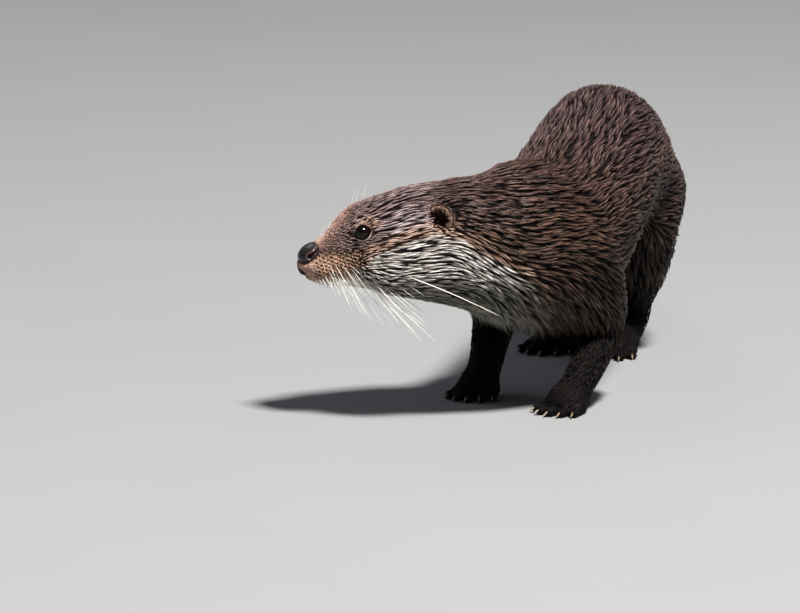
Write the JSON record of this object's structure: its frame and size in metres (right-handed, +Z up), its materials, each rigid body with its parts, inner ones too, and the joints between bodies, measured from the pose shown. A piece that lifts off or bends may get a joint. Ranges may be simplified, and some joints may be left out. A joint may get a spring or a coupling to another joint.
{
  "type": "river otter",
  "caption": "Life-size still river otter with a wet brown coat, standing low on its forelegs with arched back, head turned aside and tail laid on the ground.",
  "frame": {"origin": "on the floor under the middle of the model's box", "axes": "+Z up; the trunk runs along +Y with the tail behind and the forelegs towards -Y; the head is turned to -X, the animal's right"},
  "size_m": [0.228, 0.8142, 0.2175],
  "materials": {
    "body_coat": "wet clumped fur, dark chocolate with tan tips",
    "face_coat": "short damp fur, brown crown and pale cheeks and throat",
    "tail_coat": "wet sleek fur",
    "foot_coat": "very short dark fur and bare pads",
    "eye": "moist and clear",
    "nose": "moist, finely grained skin",
    "claw": "horn, semi gloss",
    "whisker": "stiff pale hair"
  },
  "bodies": {
    "root": {"head": "face_coat", "neck": "body_coat", "chest": "body_coat", "loin": "body_coat", "rump": "body_coat", "tail_base": "tail_coat", "tail_middle": "tail_coat", "tail_tip": "tail_coat", "eye_left": "eye", "eye_right": "eye", "ear_left": "face_coat", "ear_right": "face_coat", "nose_pad": "nose", "foreleg_left": "body_coat", "forepaw_left": "foot_coat", "foreleg_right": "body_coat", "forepaw_right": "foot_coat", "hindleg_left": "body_coat", "hindfoot_left": "foot_coat", "hindleg_right": "body_coat", "hindfoot_right": "foot_coat"}
  },
  "joints": []
}
